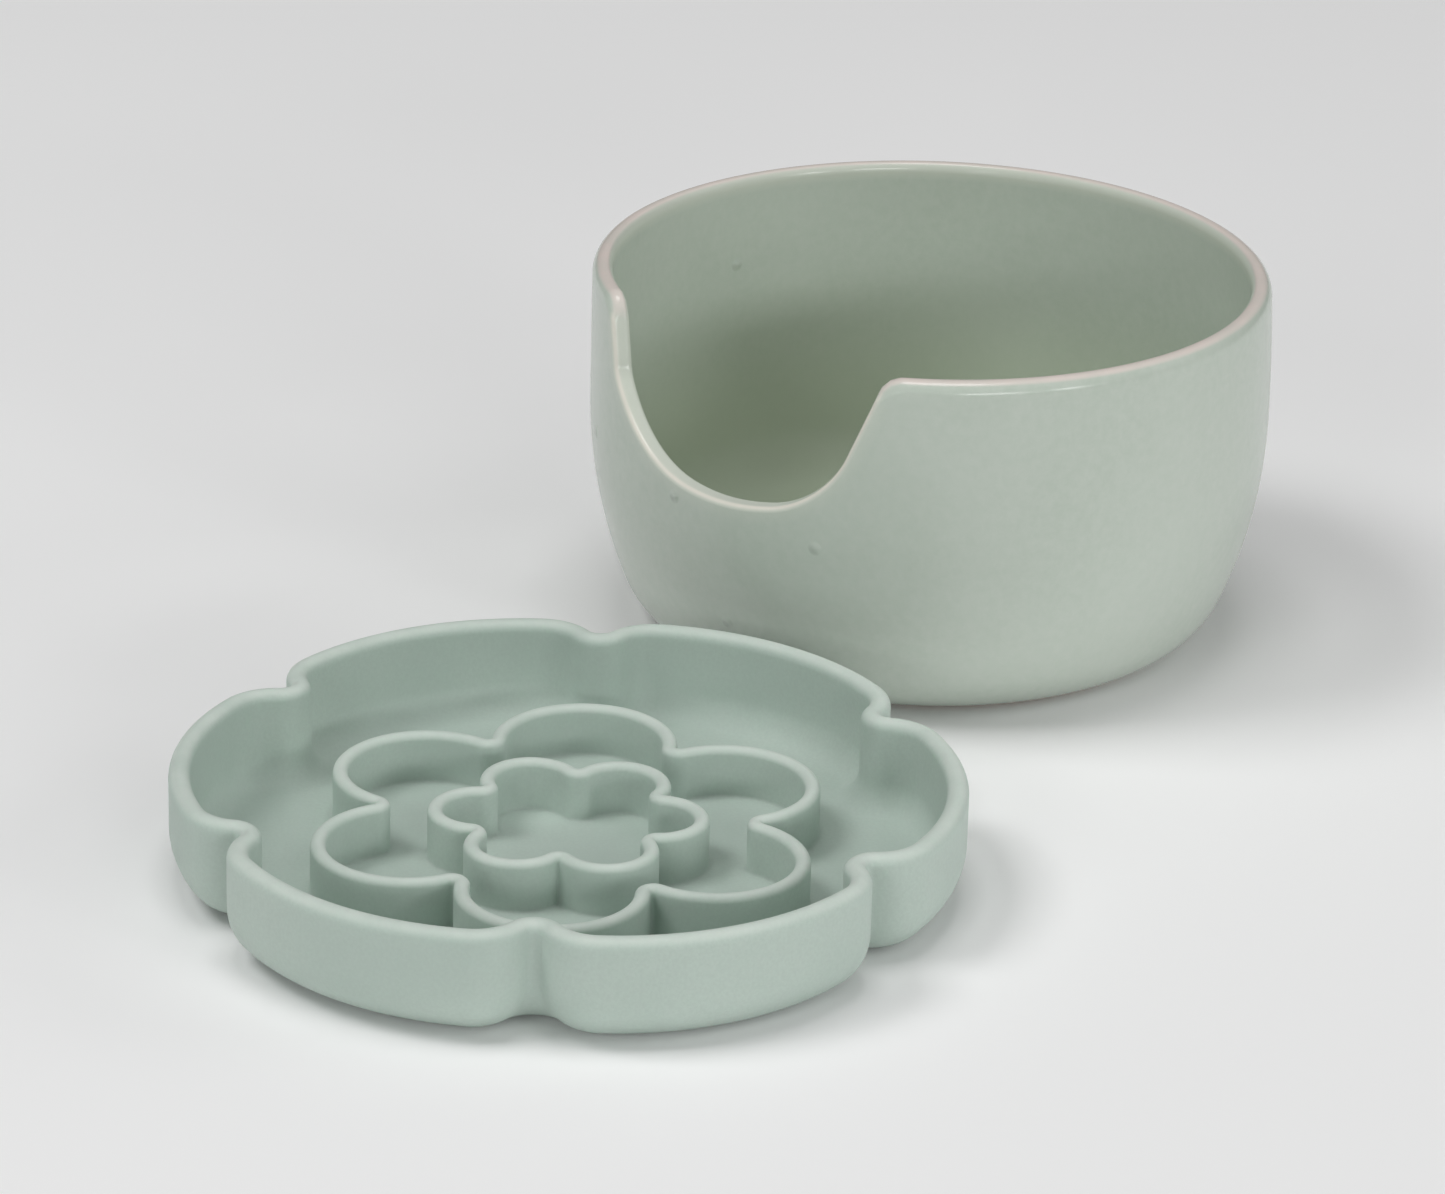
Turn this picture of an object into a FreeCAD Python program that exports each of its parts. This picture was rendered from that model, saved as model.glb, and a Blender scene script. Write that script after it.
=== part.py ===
import FreeCAD, Part
import math
import os
import Sketcher

# A two-piece mixing palette set that stands on a table: a glazed bowl with a brush notch cut down
# from its rim, and beside it a moulded tray with three flower-shaped rings of wells.
# Millimetres, +Z up. The set's origin is under the middle of the whole group, on the table.

SHEET = "Dimensions"

# Driving dimensions: alias, value, what it is. Angles are in degrees.
DIMENSIONS = [
    ("bowl_height", 87.5, "foot to rim"),
    ("bowl_max_radius", 80.8, "outside, at the widest level"),
    ("bowl_widest_level", 54.0, "height of the widest level"),
    ("bowl_upper_bend", 480.0, "radius of the side above the widest level"),
    ("bowl_lower_bend", 115.0, "radius of the side below the widest level"),
    ("bowl_base_bend", 18.0, "outside radius where the side turns into the foot"),
    ("bowl_inner_bend", 20.0, "inside radius where the side turns into the floor"),
    ("bowl_wall", 4.8, "side thickness"),
    ("bowl_floor_level", 7.0, "height of the inside floor"),
    ("foot_width", 6.0, "width of the bare foot ring"),
    ("foot_recess", 1.6, "depth of the hollow inside the foot ring"),
    ("lip_outer_round", 2.4, "rounding of the open edge's outer corner"),
    ("lip_inner_round", 1.4, "rounding of the open edge's inner corner"),
    ("notch_level", 51.8, "height of the notch's lowest point"),
    ("notch_bottom_bend", 65.0, "radius of the notch's bottom"),
    ("notch_top", 100.0, "level the notch is drawn up to, clear above the rim"),
    ("notch_right_reach", 41.4, "notch axis to its right side, at that level"),
    ("notch_right_lean", 19.0, "lean of the right side out of upright"),
    ("notch_right_bend", 23.0, "radius between the notch's bottom and its right side"),
    ("notch_left_reach", 52.6, "notch axis to its left side, at that level"),
    ("notch_left_lean", 27.0, "lean of the left side out of upright"),
    ("notch_left_bend", 40.0, "radius between the notch's bottom and its left side"),
    ("notch_shoulder", 7.0, "rounding where the notch meets the rim"),
    ("notch_heading", -38.4, "turn of the notch from straight ahead (-Y), about +Z"),
    ("tray_height", 25.5, "underside to the top of the outer wall"),
    ("tray_floor", 4.0, "floor thickness"),
    ("tray_base_round", 12.0, "rounding under the outer wall"),
    ("tray_well_round", 7.0, "rounding between the floor and the outer wall"),
    ("tray_turn", -3.3, "turn of the tray about +Z"),
    ("outer_wall", 4.8, "outer wall thickness"),
    ("outer_top_round", 2.3, "rounding of the outer wall's top edges"),
    ("lobe_offset", 20.6, "tray centre to the centre of a lobe's arc"),
    ("lobe_radius", 63.5, "lobe arc, to the middle of the wall"),
    ("shoulder_radius", 11.4, "arc from a lobe into a notch, to the middle of the wall"),
    ("groove_offset", 78.9, "tray centre to the centre of a notch's arc"),
    ("groove_radius", 4.6, "notch arc, to the middle of the wall"),
    ("flower_height", 15.6, "underside to the top of the two flower walls"),
    ("flower_wall", 3.4, "thickness of the flower walls"),
    ("flower_top_round", 1.6, "rounding of the flower walls' top edges"),
    ("middle_offset", 38.0, "tray centre to the centre of a middle petal"),
    ("middle_petal", 19.1, "middle petal arc, to the middle of the wall"),
    ("middle_valley", 2.4, "arc between two middle petals, to the middle of the wall"),
    ("inner_offset", 19.3, "tray centre to the centre of an inner petal"),
    ("inner_petal", 9.7, "inner petal arc, to the middle of the wall"),
    ("inner_valley", 2.1, "arc between two inner petals, to the middle of the wall"),
    ("tray_from_bowl_x", -80.2, "tray centre from the bowl's axis, along X"),
    ("tray_from_bowl_y", -155.9, "tray centre from the bowl's axis, along Y"),
]

SIZE = {alias: value for alias, value, _ in DIMENSIONS}
INNER_MARGIN = 0.5
LOBES = 6
STEP = 360.0 / LOBES
NORTH = 90.0
Z_AXIS = FreeCAD.Vector(0, 0, 1)


def point(radius, degrees):
    """A point on the sheet's plane, from its distance and direction."""
    angle = math.radians(degrees)
    return FreeCAD.Vector(radius * math.cos(angle), radius * math.sin(angle), 0)


def heading(start, end):
    """Direction from one point to another, in degrees."""
    return math.degrees(math.atan2(end.y - start.y, end.x - start.x))


def arc(centre, radius, start, end):
    """An anticlockwise arc between two directions."""
    circle = Part.Circle(centre, Z_AXIS, radius)
    while end <= start:
        end += 360.0
    return Part.ArcOfCircle(circle, math.radians(start), math.radians(end))


def make_sheet(doc):
    """The spreadsheet that holds the driving dimensions."""
    sheet = doc.addObject("Spreadsheet::Sheet", SHEET)
    for row, (alias, value, meaning) in enumerate(DIMENSIONS, start=1):
        sheet.set("A%d" % row, alias)
        sheet.set("B%d" % row, str(value))
        sheet.set("C%d" % row, meaning)
        sheet.setAlias("B%d" % row, alias)
    doc.recompute()
    return sheet


def cell(expression):
    """An expression with each alias written as the sheet's cell."""
    words = expression.split()
    return " ".join(SHEET + "." + word if word in SIZE else word for word in words)


def plane_of(body, role):
    """One of the body's own origin planes."""
    return next(item for item in body.Origin.OriginFeatures if item.Role == role)


def new_sketch(body, name, role="XY_Plane", level=None):
    """A sketch on one of the body's planes, raised to a level given as an expression."""
    sketch = body.newObject("Sketcher::SketchObject", name)
    sketch.AttachmentSupport = [(plane_of(body, role), "")]
    sketch.MapMode = "FlatFace"
    if level:
        sketch.setExpression("AttachmentOffset.Base.z", cell(level))
    return sketch


def bind(sketch, constraint, value, expression):
    """Adds a dimension and binds it to the sheet."""
    index = sketch.addConstraint(Sketcher.Constraint(*constraint, value))
    sketch.setExpression("Constraints[%d]" % index, cell(expression))


def fix(sketch, *constraint):
    """Adds a constraint that has no dimension."""
    sketch.addConstraint(Sketcher.Constraint(*constraint))


def check_solved(sketch):
    """Stops if the sketch has free or conflicting geometry."""
    missing = sketch.solve()
    if missing != 0 or not sketch.FullyConstrained:
        raise RuntimeError("sketch %s isn't fully constrained" % sketch.Name)


def tidy(doc, feature):
    """Recomputes and stops if the new feature has failed."""
    doc.recompute()
    if "Invalid" in feature.State or "Error" in feature.State or feature.Shape.isNull():
        raise RuntimeError("%s failed: %s" % (feature.Name, feature.State))
    return feature


def add_pad(body, sketch, length, name):
    """Pads a sketch upwards."""
    pad = body.newObject("PartDesign::Pad", name)
    pad.Profile = sketch
    pad.setExpression("Length", cell(length))
    return tidy(body.Document, pad)


def add_fillet(body, edges, radius, name):
    """Rounds the named edges of the body's last feature."""
    if not edges:
        raise RuntimeError("%s has no edges" % name)
    base = body.Tip
    fillet = body.newObject("PartDesign::Fillet", name)
    fillet.Base = (base, edges)
    fillet.Radius = SIZE[radius]
    fillet.setExpression("Radius", cell(radius))
    return tidy(body.Document, fillet)


def edge_names(shape, wanted):
    """Names of the edges for which wanted(edge, its faces) is true."""
    names = []
    for index, edge in enumerate(shape.Edges, start=1):
        faces = shape.ancestorsOfType(edge, Part.Face)
        if wanted(edge, faces):
            names.append("Edge%d" % index)
    return names


def at_level(edge, level):
    """Whether the whole edge lies at one height."""
    box = edge.BoundBox
    return abs(box.ZMin - level) < 0.001 and abs(box.ZMax - level) < 0.001


# The bowl. In its own frame its axis is Z, and the notch faces -Y.


def draw_bowl_profile(body):
    """The half section that is turned about the axis."""
    sketch = new_sketch(body, "BowlSection", "XZ_Plane")
    wall = SIZE["bowl_wall"]
    widest = SIZE["bowl_max_radius"]
    level = SIZE["bowl_widest_level"]
    top = SIZE["bowl_height"]
    upper = SIZE["bowl_upper_bend"]
    lower = SIZE["bowl_lower_bend"]
    base = SIZE["bowl_base_bend"]
    inner = SIZE["bowl_inner_bend"]
    floor = SIZE["bowl_floor_level"]
    recess = SIZE["foot_recess"]

    def vec(across, up):
        return FreeCAD.Vector(across, up, 0)

    lower_centre = vec(widest - lower, level)
    upper_centre = vec(widest - upper, level)

    def corner_centre(side_radius, radius, rest):
        """Centre of an arc that touches a level line and, from inside, the side's lower arc."""
        drop = level - rest - radius
        reach = math.sqrt((side_radius - radius) ** 2 - drop ** 2)
        return vec(lower_centre.x + reach, rest + radius)

    base_centre = corner_centre(lower, base, 0.0)
    inner_centre = corner_centre(lower - wall, inner, floor)
    base_turn = heading(lower_centre, base_centre)
    inner_turn = heading(lower_centre, inner_centre)
    outer_top = math.degrees(math.asin((top - level) / upper))
    inner_top = math.degrees(math.asin((top - level) / (upper - wall)))
    foot_in = base_centre.x - SIZE["foot_width"]

    outer_up = arc(upper_centre, upper, 0.0, outer_top)
    outer_low = arc(lower_centre, lower, base_turn, 0.0)
    outer_base = arc(base_centre, base, -90.0, base_turn)
    inner_up = arc(upper_centre, upper - wall, 0.0, inner_top)
    inner_low = arc(lower_centre, lower - wall, inner_turn, 0.0)
    inner_base = arc(inner_centre, inner, -90.0, inner_turn)
    lines = [
        Part.LineSegment(outer_up.EndPoint, inner_up.EndPoint),
        Part.LineSegment(inner_base.StartPoint, vec(0, floor)),
        Part.LineSegment(vec(0, floor), vec(0, recess)),
        Part.LineSegment(vec(0, recess), vec(foot_in, recess)),
        Part.LineSegment(vec(foot_in, recess), vec(foot_in, 0)),
        Part.LineSegment(vec(foot_in, 0), vec(base_centre.x, 0)),
    ]
    arcs = [outer_up, outer_low, outer_base, inner_up, inner_low, inner_base]
    sketch.addGeometry(arcs + lines, False)
    out_up, out_low, out_base, in_up, in_low, in_base = range(6)
    rim, floor_line, axis_line, hollow, step, foot = range(6, 12)

    fix(sketch, "Tangent", out_base, 2, out_low, 1)
    fix(sketch, "Tangent", out_low, 2, out_up, 1)
    fix(sketch, "Tangent", in_base, 2, in_low, 1)
    fix(sketch, "Tangent", in_low, 2, in_up, 1)
    fix(sketch, "Coincident", out_up, 2, rim, 1)
    fix(sketch, "Coincident", in_up, 2, rim, 2)
    fix(sketch, "Tangent", in_base, 1, floor_line, 1)
    fix(sketch, "Coincident", floor_line, 2, axis_line, 1)
    fix(sketch, "Coincident", axis_line, 2, hollow, 1)
    fix(sketch, "Coincident", hollow, 2, step, 1)
    fix(sketch, "Coincident", step, 2, foot, 1)
    fix(sketch, "Tangent", foot, 2, out_base, 1)
    fix(sketch, "PointOnObject", axis_line, 1, -2)
    fix(sketch, "PointOnObject", axis_line, 2, -2)
    fix(sketch, "PointOnObject", step, 2, -1)
    fix(sketch, "Horizontal", rim)
    fix(sketch, "Horizontal", floor_line)
    fix(sketch, "Horizontal", hollow)
    fix(sketch, "Vertical", step)
    fix(sketch, "Horizontal", foot)
    fix(sketch, "Horizontal", out_low, 3, out_low, 2)
    fix(sketch, "Coincident", in_up, 3, out_up, 3)
    fix(sketch, "Horizontal", in_up, 1, out_up, 1)
    bind(sketch, ("Radius", out_up), upper, "bowl_upper_bend")
    bind(sketch, ("Radius", out_low), lower, "bowl_lower_bend")
    bind(sketch, ("Radius", out_base), base, "bowl_base_bend")
    bind(sketch, ("Radius", in_base), inner, "bowl_inner_bend")
    bind(sketch, ("Radius", in_low), lower - wall, "bowl_lower_bend - bowl_wall")
    bind(sketch, ("Radius", in_up), upper - wall, "bowl_upper_bend - bowl_wall")
    bind(sketch, ("DistanceX", -1, 1, out_low, 2), widest, "bowl_max_radius")
    bind(sketch, ("DistanceY", -1, 1, out_low, 2), level, "bowl_widest_level")
    bind(sketch, ("DistanceY", -1, 1, out_up, 2), top, "bowl_height")
    bind(sketch, ("DistanceY", -1, 1, floor_line, 2), floor, "bowl_floor_level")
    bind(sketch, ("DistanceY", -1, 1, hollow, 1), recess, "foot_recess")
    bind(sketch, ("DistanceX", foot, 1, foot, 2), SIZE["foot_width"], "foot_width")
    check_solved(sketch)
    return sketch


def notch_corner(name):
    """Centre of the arc that joins the notch's bottom to one side, as if that side were the right."""
    reach = SIZE["notch_" + name + "_reach"]
    lean = math.radians(SIZE["notch_" + name + "_lean"])
    bend = SIZE["notch_" + name + "_bend"]
    bottom_bend = SIZE["notch_bottom_bend"]
    bottom_centre = FreeCAD.Vector(0, SIZE["notch_level"] + bottom_bend, 0)
    upward = FreeCAD.Vector(math.sin(lean), math.cos(lean), 0)
    inward = FreeCAD.Vector(-upward.y, upward.x, 0)
    top_end = FreeCAD.Vector(reach, SIZE["notch_top"], 0)

    # The centre lies on a line one bend inside the side, and inside the bottom's circle.
    beside = top_end + inward * bend - bottom_centre
    middle = beside.dot(upward)
    apart = beside.Length ** 2 - middle ** 2
    step = -middle - math.sqrt((bottom_bend - bend) ** 2 - apart)
    return top_end + inward * bend + upward * step


def draw_notch(body):
    """The notch's outline, seen along Y: a round bottom, tighter corners and leaning sides."""
    sketch = new_sketch(body, "NotchOutline", "XZ_Plane")
    low = SIZE["notch_level"]
    bottom = SIZE["notch_bottom_bend"]
    top = SIZE["notch_top"]
    right_lean = SIZE["notch_right_lean"]
    left_lean = SIZE["notch_left_lean"]
    bottom_centre = FreeCAD.Vector(0, low + bottom, 0)
    right_centre = notch_corner("right")
    left_centre = notch_corner("left")
    left_centre.x = -left_centre.x
    right_turn = heading(bottom_centre, right_centre)
    left_turn = heading(bottom_centre, left_centre)
    high_right = FreeCAD.Vector(SIZE["notch_right_reach"], top, 0)
    high_left = FreeCAD.Vector(-SIZE["notch_left_reach"], top, 0)
    round_bottom = arc(bottom_centre, bottom, left_turn, right_turn)
    right_corner = arc(right_centre, SIZE["notch_right_bend"], right_turn, -right_lean)
    left_corner = arc(left_centre, SIZE["notch_left_bend"], 180.0 + left_lean, left_turn)
    right_side = Part.LineSegment(right_corner.EndPoint, high_right)
    closing = Part.LineSegment(high_right, high_left)
    left_side = Part.LineSegment(left_corner.StartPoint, high_left)
    sketch.addGeometry([round_bottom, right_corner, left_corner, right_side, closing, left_side], False)
    fix(sketch, "Tangent", 0, 2, 1, 1)
    fix(sketch, "Tangent", 2, 2, 0, 1)
    fix(sketch, "Tangent", 1, 2, 3, 1)
    fix(sketch, "Coincident", 3, 2, 4, 1)
    fix(sketch, "Coincident", 4, 2, 5, 2)
    fix(sketch, "Tangent", 5, 1, 2, 1)
    fix(sketch, "PointOnObject", 0, 3, -2)
    fix(sketch, "Horizontal", 4)
    bind(sketch, ("Radius", 0), bottom, "notch_bottom_bend")
    bind(sketch, ("Radius", 1), SIZE["notch_right_bend"], "notch_right_bend")
    bind(sketch, ("Radius", 2), SIZE["notch_left_bend"], "notch_left_bend")
    bind(sketch, ("DistanceY", -1, 1, 0, 3), low + bottom, "notch_level + notch_bottom_bend")
    bind(sketch, ("DistanceY", -1, 1, 3, 2), top, "notch_top")
    bind(sketch, ("DistanceX", -1, 1, 3, 2), high_right.x, "notch_right_reach")
    bind(sketch, ("DistanceX", 5, 2, -1, 1), -high_left.x, "notch_left_reach")
    bind(sketch, ("Angle", 3), math.radians(90.0 - right_lean), "( 90 - notch_right_lean ) * 1 deg")
    bind(sketch, ("Angle", 5), math.radians(90.0 + left_lean), "( 90 + notch_left_lean ) * 1 deg")
    check_solved(sketch)
    return sketch


def make_bowl(doc):
    """The notched bowl: turned, notched, then rounded along its whole open edge."""
    body = doc.addObject("PartDesign::Body", "notched_bowl")
    body.Label = "notched_bowl"
    section = draw_bowl_profile(body)
    turned = body.newObject("PartDesign::Revolution", "BowlTurned")
    turned.Profile = section
    turned.ReferenceAxis = (section, ["V_Axis"])
    turned.Angle = 360.0
    tidy(doc, turned)

    whole = turned.Shape.Volume
    notch = body.newObject("PartDesign::Pocket", "Notch")
    notch.Profile = draw_notch(body)
    notch.Length = SIZE["bowl_max_radius"] + SIZE["bowl_wall"]
    notch.setExpression("Length", cell("bowl_max_radius + bowl_wall"))
    notch.Reversed = True
    tidy(doc, notch)
    removed = whole - notch.Shape.Volume
    if removed < 1000.0 or notch.Shape.BoundBox.YMax < SIZE["bowl_max_radius"] - 1.0:
        raise RuntimeError("the notch was cut on the wrong side: %.0f mm3" % removed)

    def is_corner(edge, faces):
        """The two short edges where the notch's sides meet the flat rim."""
        return at_level(edge, SIZE["bowl_height"]) and isinstance(edge.Curve, Part.Line)

    corners = edge_names(body.Tip.Shape, is_corner)
    add_fillet(body, corners, "notch_shoulder", "Shoulders")

    def is_open_edge(faces):
        """Whether a turned face meets the rim or the notch here. Those are flat or round."""
        cut = [face for face in faces if isinstance(face.Surface, (Part.Plane, Part.Cylinder))]
        return len(cut) == 1

    def is_outside(edge):
        """Whether an edge lies on the outer face of the wall rather than on the inner one."""
        spot = edge.valueAt((edge.FirstParameter + edge.LastParameter) / 2)
        inner_face = SIZE["bowl_max_radius"] - SIZE["bowl_wall"]
        return math.hypot(spot.x, spot.y) > inner_face + INNER_MARGIN

    def lip_edges(outside):
        """The open edge's corner on one side of the wall, all the way round."""
        level = SIZE["notch_level"] - 1.0

        def wanted(edge, faces):
            return edge.BoundBox.ZMin > level and is_open_edge(faces) and is_outside(edge) == outside

        return edge_names(body.Tip.Shape, wanted)

    add_fillet(body, lip_edges(True), "lip_outer_round", "LipOutside")
    add_fillet(body, lip_edges(False), "lip_inner_round", "LipInside")
    return body


# The tray. In its own frame one notch of the outer wall points along +Y.


def add_hexagon(sketch, distance, axis, first):
    """Construction hexagon about the origin, its first corner on a sketch axis. Returns its sides."""
    alias, start = first
    circle = sketch.addGeometry(Part.Circle(FreeCAD.Vector(), Z_AXIS, distance), True)
    fix(sketch, "Coincident", circle, 3, -1, 1)
    bind(sketch, ("Radius", circle), distance, alias)
    corners = [point(distance, start + STEP * turn) for turn in range(LOBES + 1)]
    sides = []
    for turn in range(LOBES):
        sides.append(sketch.addGeometry(Part.LineSegment(corners[turn], corners[turn + 1]), True))
    for turn, side in enumerate(sides):
        fix(sketch, "Coincident", side, 2, sides[(turn + 1) % LOBES], 1)
        fix(sketch, "PointOnObject", side, 1, circle)
        if turn:
            fix(sketch, "Equal", sides[0], side)
    fix(sketch, "PointOnObject", sides[0], 1, axis)
    return sides


def add_radii(sketch, arcs, radius, expression):
    """Gives the first arc its radius and makes the others equal to it."""
    bind(sketch, ("Radius", arcs[0]), radius, expression)
    for other in arcs[1:]:
        fix(sketch, "Equal", arcs[0], other)


def draw_lobes(sketch, side):
    """The outer wall's outline, half a wall outside (side 1) or inside (side -1) of its middle."""
    shift = side * SIZE["outer_wall"] / 2
    word = "+" if side > 0 else "-"
    opposite = "-" if side > 0 else "+"
    lobe = SIZE["lobe_radius"] + shift
    shoulder = SIZE["shoulder_radius"] + shift
    groove = SIZE["groove_radius"] - shift
    half_step = STEP / 2

    # Worked out once in a frame whose X axis runs through a lobe: the shoulder's centre is where
    # two circles cross, one about the lobe's centre and one about the notch's.
    lobe_centre = FreeCAD.Vector(SIZE["lobe_offset"], 0, 0)
    groove_centre = point(SIZE["groove_offset"], -half_step)
    span = groove_centre - lobe_centre
    from_lobe = lobe - shoulder
    from_groove = shoulder + groove
    along = (from_lobe ** 2 - from_groove ** 2 + span.Length ** 2) / (2 * span.Length)
    aside = math.sqrt(from_lobe ** 2 - along ** 2)
    unit = FreeCAD.Vector(span).normalize()
    left = FreeCAD.Vector(-unit.y, unit.x, 0)
    shoulder_centre = lobe_centre + unit * along + left * aside
    far_shoulder = FreeCAD.Vector(shoulder_centre.x, -shoulder_centre.y, 0)
    far_groove = FreeCAD.Vector(groove_centre.x, -groove_centre.y, 0)

    lobes = []
    first_shoulders = []
    last_shoulders = []
    grooves = []
    for turn in range(LOBES):
        spin = STEP * turn
        rotation = FreeCAD.Rotation(Z_AXIS, spin)

        def turned_arc(centre, radius, start, end):
            return arc(rotation.multVec(centre), radius, start + spin, end + spin)

        lobe_start = heading(lobe_centre, shoulder_centre)
        groove_end = heading(groove_centre, shoulder_centre)
        pieces = [
            turned_arc(groove_centre, groove, groove_end, -2 * half_step - groove_end),
            turned_arc(shoulder_centre, shoulder, heading(shoulder_centre, groove_centre), lobe_start),
            turned_arc(lobe_centre, lobe, lobe_start, -lobe_start),
            turned_arc(far_shoulder, shoulder, -lobe_start, heading(far_shoulder, far_groove)),
        ]
        first = sketch.addGeometry(pieces, False)[0]
        grooves.append(first)
        first_shoulders.append(first + 1)
        lobes.append(first + 2)
        last_shoulders.append(first + 3)

    lobe_corners = add_hexagon(sketch, SIZE["lobe_offset"], -1, ("lobe_offset", 0.0))
    groove_corners = add_hexagon(sketch, SIZE["groove_offset"], -2, ("groove_offset", NORTH))
    first_groove = int(round((NORTH + half_step) / STEP))
    for turn in range(LOBES):
        following = (turn + 1) % LOBES
        fix(sketch, "Tangent", grooves[turn], 1, first_shoulders[turn], 1)
        fix(sketch, "Tangent", first_shoulders[turn], 2, lobes[turn], 1)
        fix(sketch, "Tangent", lobes[turn], 2, last_shoulders[turn], 1)
        fix(sketch, "Tangent", last_shoulders[turn], 2, grooves[following], 2)
        fix(sketch, "Coincident", lobes[turn], 3, lobe_corners[turn], 1)
        corner = groove_corners[(turn - first_groove) % LOBES]
        fix(sketch, "Coincident", grooves[turn], 3, corner, 1)
    half_wall = " outer_wall / 2"
    add_radii(sketch, lobes, lobe, "lobe_radius " + word + half_wall)
    add_radii(sketch, grooves, groove, "groove_radius " + opposite + half_wall)
    shoulders = first_shoulders + last_shoulders
    add_radii(sketch, shoulders, shoulder, "shoulder_radius " + word + half_wall)
    check_solved(sketch)


def draw_flower(sketch, name, start, axis):
    """Both sides of a flower wall: petals about a hexagon's corners, joined by small valleys."""
    offset = SIZE[name + "_offset"]
    corners = add_hexagon(sketch, offset, axis, (name + "_offset", start))
    half_step = STEP / 2
    for side in (1, -1):
        shift = side * SIZE["flower_wall"] / 2
        word = "+" if side > 0 else "-"
        opposite = "-" if side > 0 else "+"
        petal = SIZE[name + "_petal"] + shift
        valley = SIZE[name + "_valley"] - shift
        reach = offset * math.cos(math.radians(half_step))
        valley_offset = reach + math.sqrt(reach ** 2 - offset ** 2 + (petal + valley) ** 2)
        petals = []
        valleys = []
        for turn in range(LOBES):
            spin = start + STEP * turn
            centre = point(offset, spin)
            before = point(valley_offset, spin - half_step)
            after = point(valley_offset, spin + half_step)
            following = point(offset, spin + STEP)
            petal_arc = arc(centre, petal, heading(centre, before), heading(centre, after))
            valley_arc = arc(after, valley, heading(after, following), heading(after, centre))
            first = sketch.addGeometry([petal_arc, valley_arc], False)[0]
            petals.append(first)
            valleys.append(first + 1)
        for turn in range(LOBES):
            following = (turn + 1) % LOBES
            fix(sketch, "Tangent", petals[turn], 2, valleys[turn], 2)
            fix(sketch, "Tangent", valleys[turn], 1, petals[following], 1)
            fix(sketch, "Coincident", petals[turn], 3, corners[turn], 1)
        half_wall = " flower_wall / 2"
        add_radii(sketch, petals, petal, name + "_petal " + word + half_wall)
        add_radii(sketch, valleys, valley, name + "_valley " + opposite + half_wall)
    check_solved(sketch)


def make_tray(doc):
    """The palette tray: one lobed slab, hollowed, with two flower walls standing on its floor."""
    body = doc.addObject("PartDesign::Body", "palette_tray")
    body.Label = "palette_tray"
    outline = new_sketch(body, "TrayOutline")
    draw_lobes(outline, 1)
    add_pad(body, outline, "tray_height", "TraySlab")
    under = edge_names(body.Tip.Shape, lambda edge, faces: at_level(edge, 0.0))
    add_fillet(body, under, "tray_base_round", "TrayBaseRound")

    solid = body.Tip.Shape.Volume
    hollow = new_sketch(body, "WellOutline", level="tray_height")
    draw_lobes(hollow, -1)
    well = body.newObject("PartDesign::Pocket", "Well")
    well.Profile = hollow
    well.setExpression("Length", cell("tray_height - tray_floor"))
    tidy(doc, well)
    if solid - well.Shape.Volume < solid / 2:
        raise RuntimeError("the well was not cut")
    floor = SIZE["tray_floor"]
    corner = edge_names(body.Tip.Shape, lambda edge, faces: at_level(edge, floor))
    add_fillet(body, corner, "tray_well_round", "WellRound")
    top = SIZE["tray_height"]
    brim = edge_names(body.Tip.Shape, lambda edge, faces: at_level(edge, top))
    add_fillet(body, brim, "outer_top_round", "OuterTop")

    for name, start, axis in (("middle", NORTH, -2), ("inner", 0.0, -1)):
        flower = new_sketch(body, name.capitalize() + "Flower", level="tray_floor")
        draw_flower(flower, name, start, axis)
        add_pad(body, flower, "flower_height - tray_floor", name.capitalize() + "Wall")
    top = SIZE["flower_height"]
    crests = edge_names(body.Tip.Shape, lambda edge, faces: at_level(edge, top))
    add_fillet(body, crests, "flower_top_round", "FlowerTops")
    return body


def place(bowl, tray):
    """Turns each piece, then stands the pair with the group's middle over the origin."""
    bowl.Placement = FreeCAD.Placement(FreeCAD.Vector(), FreeCAD.Rotation(Z_AXIS, 1.0))
    tray.Placement = FreeCAD.Placement(FreeCAD.Vector(), FreeCAD.Rotation(Z_AXIS, 1.0))
    bowl.setExpression("Placement.Rotation.Angle", cell("notch_heading") + " * 1 deg")
    tray.setExpression("Placement.Rotation.Angle", cell("tray_turn") + " * 1 deg")
    tray.setExpression("Placement.Base.x", cell("tray_from_bowl_x"))
    tray.setExpression("Placement.Base.y", cell("tray_from_bowl_y"))
    bowl.Document.recompute()
    middle = Part.makeCompound([bowl.Shape, tray.Shape]).optimalBoundingBox().Center
    shift = (round(-middle.x, 3), round(-middle.y, 3))
    for label, value in zip("xy", shift):
        bowl.setExpression("Placement.Base." + label, str(value))
        alias = "tray_from_bowl_" + label
        tray.setExpression("Placement.Base." + label, cell(alias) + " + (%s)" % value)
    bowl.Document.recompute()
    print("bowl axis at", shift)


def main():
    doc = FreeCAD.newDocument("MixingPaletteSet")
    make_sheet(doc)
    bowl = make_bowl(doc)
    tray = make_tray(doc)
    place(bowl, tray)
    for item in doc.Objects:
        if "Invalid" in item.State or "Error" in item.State:
            raise RuntimeError("%s failed: %s" % (item.Name, item.State))
    os.makedirs("parts", exist_ok=True)
    for body in (bowl, tray):
        if body.Shape.isNull() or not body.Shape.isValid() or len(body.Shape.Solids) != 1:
            raise RuntimeError("%s isn't one valid solid" % body.Label)
        box = body.Shape.optimalBoundingBox()
        print(body.Label, "%.0f mm3" % body.Shape.Volume, box)
        body.Shape.exportStep("parts/%s.step" % body.Label)


main()
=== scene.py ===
import math

import bmesh
import bpy
from mathutils import Matrix, Vector


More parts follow.
